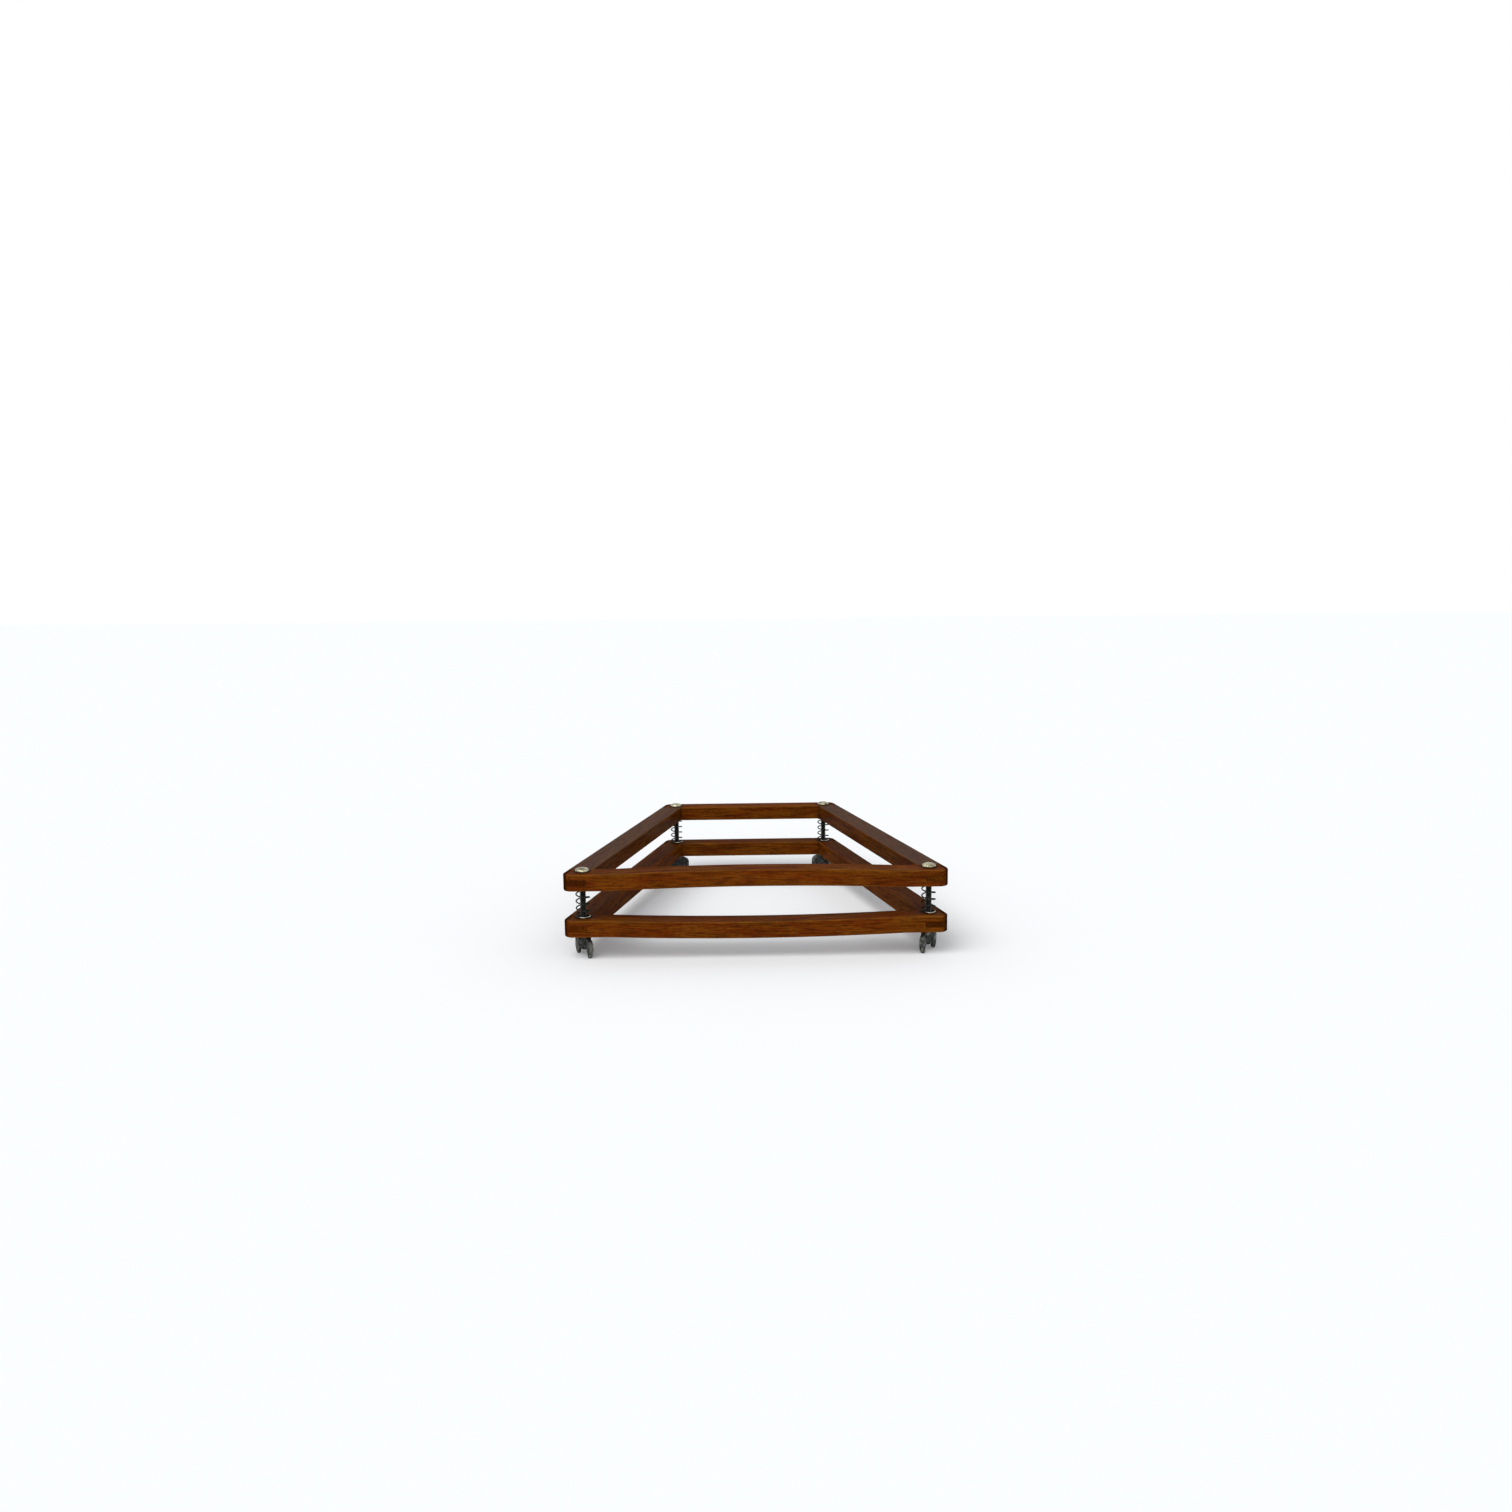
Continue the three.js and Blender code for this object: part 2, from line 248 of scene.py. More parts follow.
def rail_mesh(rail):
    """One rail of a frame whose underside lies at height 0."""
    made = loft(rail, [rounded_ring(inset, height) for inset, height in arris_profile()])
    flare = [(arris_radius, tool_low), *arris_profile(), (arris_radius, tool_high)]
    carved(made, "DIFFERENCE", [loft("window", [window_ring(inset, height) for inset, height in flare])])
    if rail in ("front", "rear"):
        end = -1 if rail == "front" else 1
        carved(made, "INTERSECT", [end_strip("keep", end, tool_low, tool_high)])
        low, high = tenon_low - joint_line, tenon_high + joint_line
        slots = [side_strip("slot", side, joint_line, low, high) for side in (-1, 1)]
        carved(made, "DIFFERENCE", slots)
    else:
        side = -1 if rail == "left" else 1
        carved(made, "INTERSECT", [side_strip("keep", side, 0, tool_low, tool_high)])
        spans = ((tool_low, tenon_low), (tenon_high, tool_high))
        cheeks = [end_strip("cheek", end, *span) for end in (-1, 1) for span in spans]
        carved(made, "DIFFERENCE", cheeks)
    carved(made, "DIFFERENCE", hole_tools())
    mesh = made.data
    bpy.data.objects.remove(made)
    return mesh


def add_vectors(mesh, name, values):
    attribute = mesh.attributes.new(name, "FLOAT_VECTOR", "POINT")
    attribute.data.foreach_set("vector", [c for value in values for c in value])


endless = 1  # half length stored for a side rail: its tenons end flush in the joints, with no arris to wear


def mark_rail(mesh, rail, seed):
    """Stores where each point lies in its board, so that the grain follows the board and not the frame.
    grain holds the place along the board, across it from its outer face, and up. ends holds half the
    board's length and the place along it from its middle, both measured square to the slanting end, and
    1 for a side rail. fibre is the direction of the grain."""
    grain, ends, fibre = [], [], []
    for vertex in mesh.vertices:
        x, y, z = vertex.co
        if rail in ("front", "rear"):
            direction = Vector((1, 0, 0))
            across = y - front_face if rail == "front" else rear_face - y
            ends.append((half_width(y) / slope_length, x / slope_length, 0))
        else:
            side = -1 if rail == "left" else 1
            direction = Vector((-side * side_slope, 1, 0)) / slope_length
            across = (half_width(y) - side * x) / slope_length
            ends.append((endless, y, 1))
        grain.append((vertex.co.dot(direction) + seed, across, z))
        fibre.append(direction)
    add_vectors(mesh, "grain", grain)
    add_vectors(mesh, "ends", ends)
    add_vectors(mesh, "fibre", fibre)


class Term:
    """A node's output that takes part in Python arithmetic; every operator adds one Math node."""

    def __init__(self, graph, socket):
        self.graph, self.socket = graph, socket

    def __add__(self, other):
        return self.graph.math("ADD", self, other)

    def __radd__(self, other):
        return self.graph.math("ADD", other, self)

    def __sub__(self, other):
        return self.graph.math("SUBTRACT", self, other)

    def __rsub__(self, other):
        return self.graph.math("SUBTRACT", other, self)

    def __mul__(self, other):
        return self.graph.math("MULTIPLY", self, other)

    def __rmul__(self, other):
        return self.graph.math("MULTIPLY", other, self)

    def __truediv__(self, other):
        return self.graph.math("DIVIDE", self, other)

    def __rtruediv__(self, other):
        return self.graph.math("DIVIDE", other, self)

    def __pow__(self, other):
        return self.graph.math("POWER", self, other)

    def __abs__(self):
        return self.graph.math("ABSOLUTE", self)

    def least(self, other):
        return self.graph.math("MINIMUM", self, other)

    def most(self, other):
        return self.graph.math("MAXIMUM", self, other)

    def rise(self, start, end):
        """0 below start, 1 above end and a smooth step between them."""
        settings = {"interpolation_type": "SMOOTHSTEP"}
        values = {"Value": self, "From Min": start, "From Max": end}
        return self.graph.node("ShaderNodeMapRange", settings, values)

    def fall(self, start, end):
        return 1 - self.rise(start, end)


class Graph:
    """A node tree whose nodes are written as calls and Python expressions."""

    def __init__(self, tree):
        self.tree = tree

    def node(self, kind, settings=None, inputs=None, output=0):
        """A node of any type, with its settings and the values or links of its sockets."""
        made = self.tree.nodes.new(kind)
        for name, value in (settings or {}).items():
            setattr(made, name, value)
        for name, value in (inputs or {}).items():
            socket = made.inputs[name]
            if isinstance(value, Term):
                self.tree.links.new(value.socket, socket)
            else:
                socket.default_value = value
        return Term(self, made.outputs[output])

    def math(self, operation, *values):
        return self.node("ShaderNodeMath", {"operation": operation}, dict(enumerate(values)))

    def object_place(self):
        return self.node("ShaderNodeTexCoord", output="Object")

    def attribute(self, name):
        return self.node("ShaderNodeAttribute", {"attribute_name": name}, output="Vector")

    def parts(self, vector):
        first = self.node("ShaderNodeSeparateXYZ", None, {"Vector": vector})
        return [Term(self, socket) for socket in first.socket.node.outputs]

    def vector(self, x, y, z):
        return self.node("ShaderNodeCombineXYZ", None, {"X": x, "Y": y, "Z": z})

    def stretched(self, vector, scale):
        return self.node("ShaderNodeVectorMath", {"operation": "MULTIPLY"}, {0: vector, 1: scale})

    def noise(self, vector, scale=1, detail=2, roughness=0.5):
        values = {"Vector": vector, "Scale": scale, "Detail": detail, "Roughness": roughness}
        return self.node("ShaderNodeTexNoise", None, values)

    def mix(self, share, first, second):
        inputs = {0: share, 6: first, 7: second}
        return self.node("ShaderNodeMix", {"data_type": "RGBA"}, inputs, output=2)

    def bump(self, height, distance):
        return self.node("ShaderNodeBump", None, {"Height": height, "Distance": distance}, output="Normal")


def new_material(name):
    """A material with an empty node tree and its graph."""
    material = bpy.data.materials.new(name)
    material.use_nodes = True
    material.node_tree.nodes.clear()
    return material, Graph(material.node_tree)


def end_shader(graph, kind, shader):
    """Leads a shader to the tree's Material or World output."""
    output = graph.tree.nodes.new(f"ShaderNodeOutput{kind}")
    graph.tree.links.new(shader.socket, output.inputs["Surface"])


def finish_surface(graph, **values):
    """Ends a material with a Principled surface; underscores in the names stand for spaces."""
    inputs = {name.replace("_", " "): value for name, value in values.items()}
    end_shader(graph, "Material", graph.node("ShaderNodeBsdfPrincipled", None, inputs))


def from_nearest_bolt(g, x, y):
    """How far a point is from the bolt at its corner; the front bolts stand wider apart."""
    middle, spread = (front_bolt.x + rear_bolt.x) / 2, (front_bolt.x - rear_bolt.x) / 2
    bolt_x = middle - spread * g.math("SIGN", y)
    return ((abs(x) - bolt_x) ** 2 + (abs(y) - rear_bolt.y) ** 2) ** 0.5


to_millimetres = 1000
heart_across = 0.03
heart_below = 0.05
ring_width = 0.0021
deep_brown = (0.098, 0.0150, 0.0004, 1)
red_brown = (0.158, 0.0285, 0.0008, 1)
warm_brown = (0.140, 0.0480, 0.0010, 1)
light_brown = (0.200, 0.0600, 0.0030, 1)
light_fibre = (0.215, 0.0620, 0.0030, 1)
dark_fibre = (0.042, 0.0075, 0.0008, 1)
fleck_brown = (0.034, 0.0065, 0.0008, 1)
ring_brown = (0.050, 0.0105, 0.0008, 1)
pore_brown = (0.018, 0.0050, 0.0010, 1)
stain_brown = (0.042, 0.0130, 0.0030, 1)
dull_brown = (0.024, 0.0130, 0.0050, 1)
end_grain_brown = (0.026, 0.0062, 0.0012, 1)
corner_shade_brown = (0.014, 0.0045, 0.0012, 1)
dust_and_sheen_grey = (0.095, 0.093, 0.086, 1)
worn_wood = (0.260, 0.110, 0.020, 1)
wood_dirt_and_shade = (0.012, 0.0065, 0.0030, 1)


def varnished_wood():
    material, g = new_material("varnished_wood")
    grain = g.attribute("grain")
    across, up = g.parts(grain)[1:]
    object_place = g.object_place()
    x, y, z = g.parts(object_place)
    reach, place, is_side = g.parts(g.attribute("ends"))

    # The wood itself: broad tones and bands, fine streaks, flecks, pores and the rings round the heart.
    tone = g.noise(g.stretched(grain, (7, 70, 70)), detail=3).rise(0.3, 0.7)
    warm = g.noise(g.stretched(grain, (17, 75, 75)), detail=2).rise(0.44, 0.6)
    band = g.noise(g.stretched(grain, (26, 210, 210)), detail=3, roughness=0.6).rise(0.46, 0.62)
    streak = g.noise(g.stretched(grain, (60, 950, 950)), detail=3, roughness=0.6)
    light_streak, dark_streak = streak.fall(0.34, 0.48), streak.rise(0.5, 0.62)
    fleck = g.noise(g.stretched(grain, (210, 1500, 1500)), detail=2, roughness=0.6).rise(0.54, 0.66)
    pore = g.noise(g.stretched(grain, (190, 4200, 4200)), detail=2, roughness=0.6).rise(0.55, 0.7)
    wander = g.noise(g.stretched(grain, (6, 14, 14)), detail=2) * 0.012
    ring_radius = ((across - heart_across) ** 2 + (up + heart_below) ** 2) ** 0.5 + wander
    ring = (g.math("SINE", ring_radius * (2 * math.pi / ring_width)) * 0.5 + 0.5) ** 2.5

    # How a point faces and which frame it is in; the upper left and the lower right tenons are darker.
    normal = g.node("ShaderNodeNewGeometry", output="Normal")
    directions = {0: normal, 1: g.attribute("fibre")}
    facing = g.node("ShaderNodeVectorMath", {"operation": "DOT_PRODUCT"}, directions, "Value")
    end_grain = abs(facing).rise(0.25, 0.9)
    is_upper = (z - gap_middle).rise(-0.001, 0.001)
    darker_joint = abs(is_upper - g.math("GREATER_THAN", x, 0.0))
    upward = g.parts(normal)[2].rise(0.6, 0.95)

    # Worn arrises: a point is on one where it is near two of the board's outer faces.
    from_flat = up.least(rail_thickness - up)
    from_edge = across.least(rail_width - across)
    from_end = reach - abs(place)
    smaller, larger = from_flat.least(from_edge), from_flat.most(from_edge)
    from_arris = smaller.most(larger.least(from_end))
    patchy = g.noise(g.stretched(grain, (60, 300, 300)), detail=4, roughness=0.7)
    wear = (from_arris * to_millimetres - patchy * 2.2).fall(-0.6, 0.35) * (1 - is_side * 0.6)

    # Dirt round the bolts, which is also painted shade round the bolt heads, dirt in the joints, dull
    # blotches, dust with a painted sheen on the upper side rails, and painted shade at the rounded ends of
    # the rails.
    dirt_noise = g.noise(object_place, scale=260, detail=4, roughness=0.65)
    # Dirt in a ring round each bolt, which also serves as painted shade round the bolt heads on the wood.
    bolt_dirt_and_shade = (from_nearest_bolt(g, x, y) * to_millimetres - dirt_noise * 3.4).fall(4.2, 7)
    past_joint = (abs(y) - joint_place) * to_millimetres
    at_joint = (abs(past_joint) - dirt_noise * 1.1).fall(-0.25, 0.5)
    dirt_and_shade = bolt_dirt_and_shade.most(at_joint * is_side * 0.8)
    blotch = g.noise(g.stretched(grain, (22, 90, 90)), detail=5, roughness=0.7).rise(0.52, 0.75)
    # Dust and a painted sheen grey the up-facing tops of the upper side rails only.
    dust_and_sheen = upward * is_side * is_upper * (0.1 + patchy * 0.34)
    greyed = is_side * (0.20 + is_upper * 0.2) * (1 - end_grain)
    # Painted shade: the wood darkens towards the rounded ends of the rails, which turn away from the light.
    from_side = (half_width(y) - abs(x)) * to_millimetres
    painted_corner_shade = (from_side + patchy * 2).fall(3.0, 6.2) * past_joint.rise(-0.3, 0.1)

    colour = g.mix(tone, deep_brown, red_brown)
    colour = g.mix(warm * 0.4, colour, warm_brown)
    colour = g.mix(band * 0.55, colour, light_brown)
    colour = g.mix(light_streak * 0.45, colour, light_fibre)
    colour = g.mix(dark_streak * 0.70, colour, dark_fibre)
    colour = g.mix(fleck * 0.60, colour, fleck_brown)
    colour = g.mix(ring * 0.25, colour, ring_brown)
    colour = g.mix(pore * 0.45, colour, pore_brown)
    colour = g.mix(blotch * 0.30, colour, stain_brown)
    colour = g.mix(greyed, colour, dull_brown)
    colour = g.mix(end_grain * (0.30 + darker_joint * 0.4), colour, end_grain_brown)
    colour = g.mix(painted_corner_shade * 0.80, colour, corner_shade_brown)
    colour = g.mix(dust_and_sheen, colour, dust_and_sheen_grey)
    colour = g.mix(wear * 0.26, colour, worn_wood)
    colour = g.mix(dirt_and_shade * 0.75, colour, wood_dirt_and_shade)

    rough = 0.46 + dark_streak * 0.1 + blotch * 0.14 + wear * 0.15 + end_grain * 0.15
    varnish = (0.05 - wear * 0.03 - blotch * 0.03 - end_grain * 0.03 - painted_corner_shade * 0.05).most(0)
    height = pore * -0.5 + ring * -0.18 + dark_streak * -0.25 + dirt_noise * 0.5 + patchy * 0.5
    finish_surface(
        g,
        Base_Color=colour,
        Roughness=rough,
        Coat_Weight=varnish,
        Coat_Roughness=0.28,
        Specular_IOR_Level=0.0,
        Normal=g.bump(height, 0.00022),
    )
    return material


wood = varnished_wood()
rail_names = ("front", "rear", "left", "right")
seed_step = 0.37
board_sharp_angle = math.radians(28)
for rail_number, rail_name in enumerate(rail_names):
    shared = rail_mesh(rail_name)
    if rail_name == "front":
        slice_across(shared)
    for frame_number, frame_name in enumerate(("lower", "upper")):
        node = f"{frame_name}_{rail_name}_rail"
        board = shared.copy()
        mark_rail(board, rail_name, seed_step * (1 + rail_number + len(rail_names) * frame_number))
        if rail_name == "front":
            bend(board, front_rail_bow if frame_name == "upper" else -front_rail_bow)
        board.transform(Matrix.Translation((0, 0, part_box(f"{frame_name}_left_rail")[0].z)))
        board.materials.append(wood)
        made = object_of(f"{frame_name}_{rail_name}_board", board)
        board.shade_smooth()
        board.set_sharp_from_angle(angle=board_sharp_angle)
        weighted = made.modifiers.new("weighted", "WEIGHTED_NORMAL")
        weighted.keep_sharp = True
        made.data = evaluated_mesh(made)
        made.modifiers.clear()
        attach(made, f"{frame_name}_frame")
        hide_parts(node)


# Bolts: plated carriage bolts, 3/16 inch, dropped through both frames from above. The low domed head lies
# on the upper frame, its square neck sunk into the wood, and the shank is threaded down to its tail.
bolt_radius = 0.00238
thread_pitch = 0.0010583
thread_depth = 0.00062
head_radius = 0.0053
head_height = 0.0029
head_rim = 0.0006
rim_bevel = 0.0002
neck_half = 0.0024  # the real neck is square; sunk in the wood it doesn't show, and it is turned here
neck_depth = 0.0032
shank_below_top = 0.003
tail_chamfer = 0.0009
dome_fullness = 0.92
dome_steps = 14
turned_sides = 64
turned_sharp_angle = math.radians(40)
shank_sides = 36
rings_per_turn = 10
upper_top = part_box("upper_left_rail")[1].z
bolt_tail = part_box("bolt_front_left")[0].z


def lathe(name, profile, sides, closed=False):
    """A profile of radius and height turned about the Z axis; an open one starts and ends on the axis."""
    points, rows, faces = [], [], []
    for radius, height in profile:
        if radius == 0:
            rows.append([len(points)] * sides)
            points.append((0, 0, height))
            continue
        rows.append(list(range(len(points), len(points) + sides)))
        points += [
            (radius * math.cos(2 * math.pi * i / sides), radius * math.sin(2 * math.pi * i / sides), height)
            for i in range(sides)
        ]
    pairs = list(zip(rows, rows[1:])) + ([(rows[-1], rows[0])] if closed else [])
    for low, high in pairs:
        for i in range(sides):
            j = (i + 1) % sides
            faces.append(tuple(dict.fromkeys((low[i], low[j], high[j], high[i]))))
    mesh = bpy.data.meshes.new(name)
    mesh.from_pydata(points, [], faces)
    mesh.shade_smooth()
    mesh.set_sharp_from_angle(angle=turned_sharp_angle)
    return mesh


def new_geometry_tree(name, inputs):
    """A Geometry Nodes tree, its graph, the terms of its named inputs and the inputs' identifiers."""
    tree = bpy.data.node_groups.new(name, "GeometryNodeTree")
    tree.interface.new_socket("Geometry", in_out="OUTPUT", socket_type="NodeSocketGeometry")
    identifiers = {}
    for label, value in inputs.items():
        socket = tree.interface.new_socket(label, in_out="INPUT", socket_type="NodeSocketFloat")
        socket.default_value = value
        identifiers[label] = socket.identifier
    graph = Graph(tree)
    source = tree.nodes.new("NodeGroupInput")
    terms = {label: Term(graph, source.outputs[label]) for label in inputs}
    return tree, graph, terms, identifiers


def grown_mesh(name, tree, identifiers, values):
    """What the tree makes with these values, as a plain mesh."""
    holder = object_of(name, bpy.data.meshes.new(name))
    modifier = holder.modifiers.new("grown", "NODES")
    modifier.node_group = tree
    for label, value in values.items():
        modifier[identifiers[label]] = value
    mesh = evaluated_mesh(holder)
    bpy.data.objects.remove(holder)
    return mesh


def end_tree(graph, geometry, material):
    """Realizes, sets the material and leads to the tree's output."""
    real = graph.node("GeometryNodeRealizeInstances", None, {"Geometry": geometry})
    dressed = graph.node("GeometryNodeSetMaterial", None, {"Geometry": real, "Material": material})
    output = graph.tree.nodes.new("NodeGroupOutput")
    graph.tree.links.new(dressed.socket, output.inputs["Geometry"])


thread_dark = (0.012, 0.013, 0.011, 1)
thread_grey = (0.060, 0.060, 0.053, 1)
thread_rust = (0.035, 0.018, 0.010, 1)
plate_dark = (0.15, 0.135, 0.090, 1)
plate_bright = (0.52, 0.49, 0.33, 1)
plate_spot = (0.07, 0.05, 0.03, 1)
rim_shade_dark = (0.020, 0.015, 0.009, 1)


def oily_thread():
    material, g = new_material("oily_thread")
    place = g.object_place()
    grey = g.noise(place, scale=900, detail=3)
    rust = g.noise(place, scale=420, detail=4, roughness=0.7).rise(0.55, 0.72)
    colour = g.mix(grey, thread_dark, thread_grey)
    colour = g.mix(rust * 0.6, colour, thread_rust)
    finish_surface(
        g,
        Base_Color=colour,
        Metallic=1 - rust * 0.55,
        Roughness=0.34 + grey * 0.2 + rust * 0.25,
        Normal=g.bump(grey, 0.00005),
    )
    return material


def shank_tree(material, sizes):
    """A tube of close rings pushed in and out into one continuous screw thread."""
    tree, g, term, identifiers = new_geometry_tree("threaded_shank", sizes)
    tail, top = term["Tail"], term["Top"]
    ends = {"Start": g.vector(0.0, 0.0, tail), "End": g.vector(0.0, 0.0, top)}
    line = g.node("GeometryNodeCurvePrimitiveLine", None, ends)
    rings = g.math("ROUND", (top - tail) / term["Pitch"] * rings_per_turn)
    line = g.node("GeometryNodeResampleCurve", None, {"Curve": line, "Count": rings})
    round_section = {"Resolution": shank_sides, "Radius": term["Radius"]}
    circle = g.node("GeometryNodeCurvePrimitiveCircle", None, round_section)
    shape = {"Curve": line, "Profile Curve": circle, "Fill Caps": True}
    tube = g.node("GeometryNodeCurveToMesh", None, shape)
    x, y, z = g.parts(g.node("GeometryNodeInputPosition"))
    turn = g.math("ARCTAN2", y, x) / (2 * math.pi)
    wave = abs(g.math("FRACT", z / term["Pitch"] - turn) * 2 - 1)
    groove = wave.rise(0.12, 0.88)
    chamfer = (z - tail).fall(0.0, tail_chamfer)
    share = 1 - (groove + chamfer).least(1) * term["Depth"] / term["Radius"]
    moved = g.vector(x * share, y * share, z)
    tube = g.node("GeometryNodeSetPosition", None, {"Geometry": tube, "Position": moved})
    tube = g.node("GeometryNodeSetShadeSmooth", None, {"Geometry": tube})
    end_tree(g, tube, material)
    return tree, identifiers


def plated_head():
    material, g = new_material("plated_head")
    place = g.object_place()
    z = g.parts(place)[2]
    cloud = g.noise(place, scale=330, detail=4, roughness=0.6)
    spot = g.noise(place, scale=1500, detail=3, roughness=0.7).rise(0.58, 0.72)
    scratch = g.noise(g.stretched(place, (400, 5200, 900)), detail=2).rise(0.56, 0.66)
    # Painted shade: the foot of the head's rim is darkened where it meets the wood, with duller metal
    # there.
    painted_rim_shade = ((z - upper_top) * to_millimetres + cloud * 0.6).fall(0.6, 1.3)
    colour = g.mix(cloud.rise(0.35, 0.65), plate_dark, plate_bright)
    colour = g.mix(spot * 0.75, colour, plate_spot)
    colour = g.mix(painted_rim_shade * 0.85, colour, rim_shade_dark)
    finish_surface(
        g,
        Base_Color=colour,
        Metallic=1 - spot * 0.5 - painted_rim_shade * 0.4,
        Roughness=0.15 + cloud * 0.2 + spot * 0.3 + scratch * 0.12 + painted_rim_shade * 0.2,
        Normal=g.bump(cloud * 0.8 - spot * 0.5 - scratch * 0.35, 0.00008),
    )
    return material


dome_profile = [(0, -neck_depth), (neck_half, -neck_depth), (neck_half, 0)]
dome_profile += [(head_radius - rim_bevel, 0), (head_radius, rim_bevel), (head_radius, head_rim)]
for step in range(1, dome_steps):
    angle = math.pi / 2 * step / dome_steps
    rise = (head_height - head_rim) * math.sin(angle)
    dome_profile.append((head_radius * math.cos(angle) ** dome_fullness, head_rim + rise))
dome_profile.append((0, head_height))
shank_sizes = {"Tail": bolt_tail, "Top": upper_top - shank_below_top, "Radius": bolt_radius}
shank_sizes.update({"Pitch": thread_pitch, "Depth": thread_depth})
thread_tree, thread_inputs = shank_tree(oily_thread(), shank_sizes)
head_material = plated_head()
for corner, place in bolt_places.items():
    shank = grown_mesh(f"threaded_shank_{corner}", thread_tree, thread_inputs, shank_sizes)
    head = lathe(f"domed_head_{corner}", dome_profile, turned_sides)
    head.materials.append(head_material)
    head.transform(Matrix.Translation((0, 0, upper_top)))
    for mesh in (shank, head):
        mesh.transform(Matrix.Translation(place))
        made = object_of(mesh.name, mesh)
        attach(made, "upper_frame")
        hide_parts(f"bolt_{corner}")


# Springs: round steel wire wound left-handed about each bolt between the frames, with a flat part turn at
# each end to stand on. Black with age, rubbed bright where the turns stand out, which also serves as their
# painted highlights, and a painted highlight along the foot.
wire_radius = 0.0005
coil_radius = 0.005
flat_turns = 0.65
open_turns = 4.0
spring_clearance = 0.0001
wire_sides = 20
wire_steps = 360
spring_black = (0.006, 0.0065, 0.0055, 1)
spring_grey = (0.030, 0.029, 0.025, 1)
spring_bright = (0.46, 0.44, 0.375, 1)
spring_rust = (0.030, 0.014, 0.007, 1)
lower_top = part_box("lower_left_rail")[1].z
upper_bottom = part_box("upper_left_rail")[0].z


def spring_wire():
    material, g = new_material("spring_wire")
    place = g.object_place()
    x, y, z = g.parts(place)
    from_axis = from_nearest_bolt(g, x, y) * to_millimetres
    mottle = g.noise(place, scale=700, detail=4, roughness=0.65)
    # Painted highlight: the lowest turn is painted bright, and the outer sides of the turns are rubbed
    # bright, which also serves as their painted highlight.
    foot_highlight = ((z - lower_top) * to_millimetres).fall(0.9, 1.3)
    rubbed_and_highlit = (from_axis + mottle * 0.9 + foot_highlight * 0.8).rise(5.75, 6.2)
    rust = g.noise(place, scale=500, detail=3, roughness=0.6).rise(0.6, 0.72) * (1 - rubbed_and_highlit)
    colour = g.mix(mottle, spring_black, spring_grey)
    colour = g.mix(rubbed_and_highlit * (0.15 + foot_highlight * 0.85), colour, spring_bright)
    colour = g.mix(rust * 0.6, colour, spring_rust)
    finish_surface(
        g,
        Base_Color=colour,
        Metallic=rubbed_and_highlit,
        Specular_IOR_Level=0.0,
        Roughness=0.42 - rubbed_and_highlit * 0.16 + rust * 0.25,
        Normal=g.bump(mottle, 0.00004),
    )
    return material


def spring_tree(material, sizes):
    """Round wire up a helix between two flat part turns. The open turns start at the front, and each end
    of the wire runs out straight by its own thickness."""
    tree, g, term, identifiers = new_geometry_tree("wound_spring", sizes)
    coil, wire = term["Coil Radius"], term["Wire Radius"]
    flat, opened = term["Flat Turns"], term["Open Turns"]
    low, high = term["Bottom"] + wire, term["Top"] - wire
    turns = flat * 2 + opened
    tail = wire * 2 / (coil * 2 * math.pi)
    line = g.node("GeometryNodeCurvePrimitiveLine")
    line = g.node("GeometryNodeResampleCurve", None, {"Curve": line, "Count": wire_steps})
    share = g.node("GeometryNodeSplineParameter")
    free = share * (turns + tail * 2) - tail
    turn = free.most(0).least(turns)
    beyond = (free - turn) * coil * (2 * math.pi)
    climbed = ((turn - flat) / opened).most(0).least(1)
    height = low + (high - low) * climbed
    angle = (flat - turn) * (2 * math.pi) - math.pi / 2
    cosine, sine = g.math("COSINE", angle), g.math("SINE", angle)
    point = g.vector(coil * cosine + beyond * sine, coil * sine - beyond * cosine, height)
    line = g.node("GeometryNodeSetPosition", None, {"Geometry": line, "Position": point})
    line = g.node("GeometryNodeSetCurveNormal", None, {"Curve": line})
    circle = g.node("GeometryNodeCurvePrimitiveCircle", None, {"Resolution": wire_sides, "Radius": wire})
    shape = {"Curve": line, "Profile Curve": circle, "Fill Caps": True}
    wound = g.node("GeometryNodeCurveToMesh", None, shape)
    wound = g.node("GeometryNodeSetShadeSmooth", None, {"Geometry": wound})
    end_tree(g, wound, material)
    return tree, identifiers


spring_sizes = {"Bottom": lower_top + spring_clearance, "Top": upper_bottom - spring_clearance}
spring_sizes.update({"Coil Radius": coil_radius, "Wire Radius": wire_radius})
spring_sizes.update({"Flat Turns": flat_turns, "Open Turns": open_turns})
spring_nodes, spring_inputs = spring_tree(spring_wire(), spring_sizes)
for corner, place in bolt_places.items():
    wound = grown_mesh(f"wound_spring_{corner}", spring_nodes, spring_inputs, spring_sizes)
    wound.transform(Matrix.Translation(place))
    made = object_of(wound.name, wound)
    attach(made, "lower_frame")
    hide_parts(f"spring_{corner}")
    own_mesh(made)


# Washers: flat, stamped from plated sheet, one under the lower frame at each bolt, so that the wing nut
# doesn't dig into the wood. Dull grey, with specks of rust.
washer_radius = 0.00635
washer_hole = 0.00278
washer_edge = 0.00018
washer_dark = (0.09, 0.086, 0.075, 1)
washer_grey = (0.25, 0.24, 0.21, 1)
washer_rust = (0.05, 0.026, 0.014, 1)


def dull_plate():
    material, g = new_material("dull_plate")
    place = g.object_place()
    cloud = g.noise(place, scale=520, detail=4, roughness=0.65)
    rust = g.noise(place, scale=900, detail=3, roughness=0.7).rise(0.56, 0.7)
    colour = g.mix(cloud, washer_dark, washer_grey)
    colour = g.mix(rust * 0.7, colour, washer_rust)
    finish_surface(
        g,
        Base_Color=colour,
        Metallic=1 - rust * 0.6,
        Roughness=0.4 + cloud * 0.2 + rust * 0.2,
        Normal=g.bump(cloud - rust * 0.5, 0.00008),
    )
    return material


